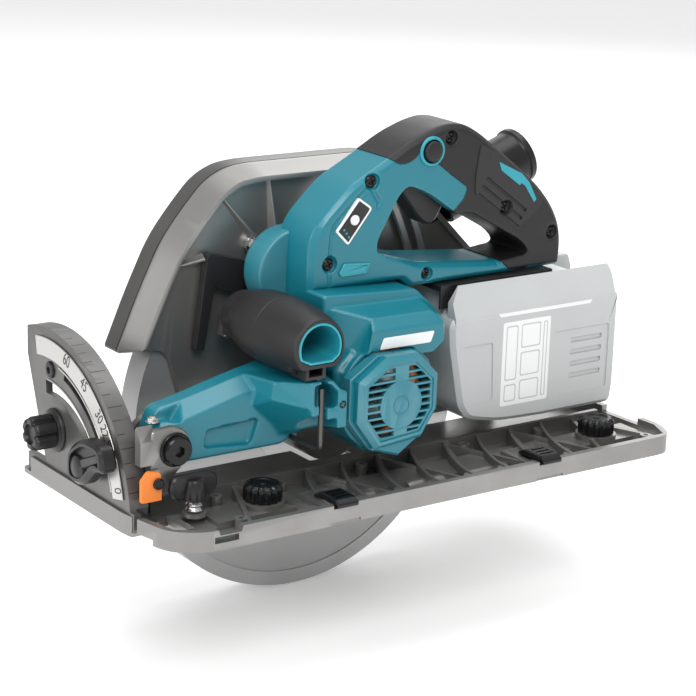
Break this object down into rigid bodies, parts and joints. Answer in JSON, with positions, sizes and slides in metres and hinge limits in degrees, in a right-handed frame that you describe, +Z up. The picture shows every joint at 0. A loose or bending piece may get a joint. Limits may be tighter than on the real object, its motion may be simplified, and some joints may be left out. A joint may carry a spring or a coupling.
{
  "type": "cordless circular saw",
  "caption": "Cordless circular saw with a tilting ribbed base, fixed and swinging blade guards, a D-shaped rear handle, a barrel front grip and a slide-on battery.",
  "frame": {"origin": "a point on the sole's underside, midway along the base and across it", "axes": "+X along the cut towards the rear and the battery, +Y across towards the blade, +Z up from the sole"},
  "size_m": [0.4557, 0.205, 0.3543],
  "materials": {
    "teal": "moulded nylon, fine grain",
    "rubber": "soft overmould, matt",
    "black_plastic": "moulded, semi-matt",
    "casting": "cast magnesium, satin",
    "steel": "ground",
    "black_steel": "blackened",
    "plate": "grey coated sheet",
    "copper": "wound copper",
    "orange": "moulded",
    "pale_plastic": "moulded, pale grey",
    "board": "potted circuit board",
    "scale": "white band with black marks"
  },
  "bodies": {
    "base": {"base_plate": "casting", "bevel_quadrant": "casting", "bevel_scale_band": "scale", "rear_bevel_guide": "casting", "fence_screw_spring": "steel"},
    "bevel_stop_knob": {"bevel_stop_knob": "black_plastic"},
    "rail_knob_front": {"rail_knob_front": "black_plastic"},
    "rail_knob_rear": {"rail_knob_rear": "black_plastic"},
    "rail_slide_front": {"rail_slide_front": "black_plastic"},
    "rail_slide_rear": {"rail_slide_rear": "black_plastic"},
    "fence_screw": {"fence_screw": "black_plastic"},
    "bevel_frame": {"front_bracket": "casting", "bevel_pointer": "orange", "pointer_screw": "black_steel", "depth_pivot_bolt": "black_steel", "rear_bevel_bracket": "plate", "depth_guide": "plate"},
    "bevel_clamp_lever": {"bevel_clamp_lever": "black_plastic"},
    "saw_head": {"upper_guard": "casting", "dust_nozzle": "black_plastic", "gear_housing": "casting", "bearing_box": "casting", "spindle_inner_bearing": "steel", "spindle_outer_bearing": "steel", "stator": "copper", "motor_rear_bearing": "steel", "motor_front_bearing": "steel", "motor_housing": "teal", "vent_cover": "teal", "front_arm": "teal", "grip_core": "teal", "front_grip": "rubber", "handle_near_shell": "teal", "handle_far_shell": "teal", "switch_unit": "black_plastic", "control_panel": "black_plastic", "controller_board": "board", "battery_rail": "black_plastic", "front_bracket_frame": "black_plastic"},
    "lower_guard": {"lower_guard": "plate", "lower_guard_lever": "black_plastic"},
    "blade_group": {"saw_blade": "steel", "inner_flange": "steel", "outer_flange": "steel", "blade_bolt": "steel", "spindle": "steel", "spindle_gear": "steel"},
    "motor_rotor": {"rotor_shaft": "steel", "rotor_core": "steel", "cooling_fan": "black_plastic"},
    "trigger": {"trigger": "black_plastic"},
    "lock_off_button": {"lock_off_button": "black_plastic"},
    "panel_button": {"panel_button": "pale_plastic"},
    "shaft_lock": {"shaft_lock": "black_plastic"},
    "depth_clamp_lever": {"depth_clamp_lever": "black_plastic"},
    "hex_wrench": {"hex_wrench": "steel"},
    "battery": {"battery_pack": "pale_plastic"},
    "battery_button": {"battery_button": "black_plastic"}
  },
  "joints": [
    {"name": "bevel_tilt", "type": "hinge", "parent": "base", "child": "bevel_frame", "pos_m": [0, 0.062, 0], "axis": [-1, 0, 0], "range_deg": [0, 60]},
    {"name": "depth_swing", "type": "hinge", "parent": "bevel_frame", "child": "saw_head", "pos_m": [-0.18, -0.028, 0.054], "axis": [0, -1, 0], "range_deg": [0, 36]},
    {"name": "lower_guard_swing", "type": "hinge", "parent": "saw_head", "child": "lower_guard", "pos_m": [-0.015, 0.051, 0.031], "axis": [0, -1, 0], "range_deg": [0, 100], "stiffness_Nm_per_rad": 0.25, "springref_deg": -45.84},
    {"name": "blade_spin", "type": "hinge", "parent": "saw_head", "child": "blade_group", "pos_m": [-0.015, 0.062, 0.031], "axis": [0, 1, 0], "continuous": true},
    {"name": "rotor_spin", "type": "hinge", "parent": "saw_head", "child": "motor_rotor", "pos_m": [-0.0225, 0, 0.0708], "axis": [0, 1, 0], "continuous": true},
    {"name": "trigger_pull", "type": "hinge", "parent": "saw_head", "child": "trigger", "pos_m": [0.014, -0.005, 0.214], "axis": [0, -1, 0], "range_deg": [0, 9], "stiffness_Nm_per_rad": 0.5, "springref_deg": -14.32},
    {"name": "lock_off_press", "type": "slide", "parent": "saw_head", "child": "lock_off_button", "axis": [0, 1, 0], "range_m": [0, 0.003], "stiffness_N_per_m": 400, "springref_m": -0.002},
    {"name": "panel_button_press", "type": "slide", "parent": "saw_head", "child": "panel_button", "axis": [0, 1, 0], "range_m": [0, 0.0005], "stiffness_N_per_m": 600, "springref_m": -0.001},
    {"name": "shaft_lock_press", "type": "slide", "parent": "saw_head", "child": "shaft_lock", "axis": [0.682, 0, -0.7314], "range_m": [0, 0.004], "stiffness_N_per_m": 500, "springref_m": -0.003},
    {"name": "depth_clamp_turn", "type": "hinge", "parent": "saw_head", "child": "depth_clamp_lever", "pos_m": [0.08934, 0.035, 0.03517], "axis": [0, 1, 0], "range_deg": [0, 45]},
    {"name": "bevel_clamp_turn", "type": "hinge", "parent": "bevel_frame", "child": "bevel_clamp_lever", "pos_m": [-0.22, 0, 0.034], "axis": [-1, 0, 0], "range_deg": [0, 50]},
    {"name": "bevel_stop_turn", "type": "hinge", "parent": "base", "child": "bevel_stop_knob", "pos_m": [-0.22, 0.0535, 0.043], "axis": [-1, 0, 0], "range_deg": [0, 180]},
    {"name": "rail_knob_front_turn", "type": "hinge", "parent": "base", "child": "rail_knob_front", "pos_m": [-0.1185, -0.061, 0.012], "axis": [0, 0, 1], "range_deg": [0, 180]},
    {"name": "rail_knob_rear_turn", "type": "hinge", "parent": "base", "child": "rail_knob_rear", "pos_m": [0.172, -0.064, 0.012], "axis": [0, 0, 1], "range_deg": [0, 180]},
    {"name": "rail_slide_front_move", "type": "slide", "parent": "base", "child": "rail_slide_front", "axis": [0, 1, 0], "range_m": [0, 0.005]},
    {"name": "rail_slide_rear_move", "type": "slide", "parent": "base", "child": "rail_slide_rear", "axis": [0, 1, 0], "range_m": [0, 0.005]},
    {"name": "fence_screw_turn", "type": "hinge", "parent": "base", "child": "fence_screw", "pos_m": [-0.17, -0.0585, 0.012], "axis": [0, 0, 1], "range_deg": [0, 75]},
    {"name": "battery_slide", "type": "slide", "parent": "saw_head", "child": "battery", "axis": [1, 0, 0], "range_m": [0, 0.12]},
    {"name": "battery_button_press", "type": "slide", "parent": "battery", "child": "battery_button", "axis": [0, 0, -1], "range_m": [0, 0.002], "stiffness_N_per_m": 500, "springref_m": -0.002},
    {"name": "hex_wrench_pull", "type": "slide", "parent": "saw_head", "child": "hex_wrench", "axis": [0, -1, 0], "range_m": [0, 0.056]}
  ],
  "couplings": [
    {"joint": "rotor_spin", "follows": "blade_spin", "ratio": -1.8421}
  ]
}
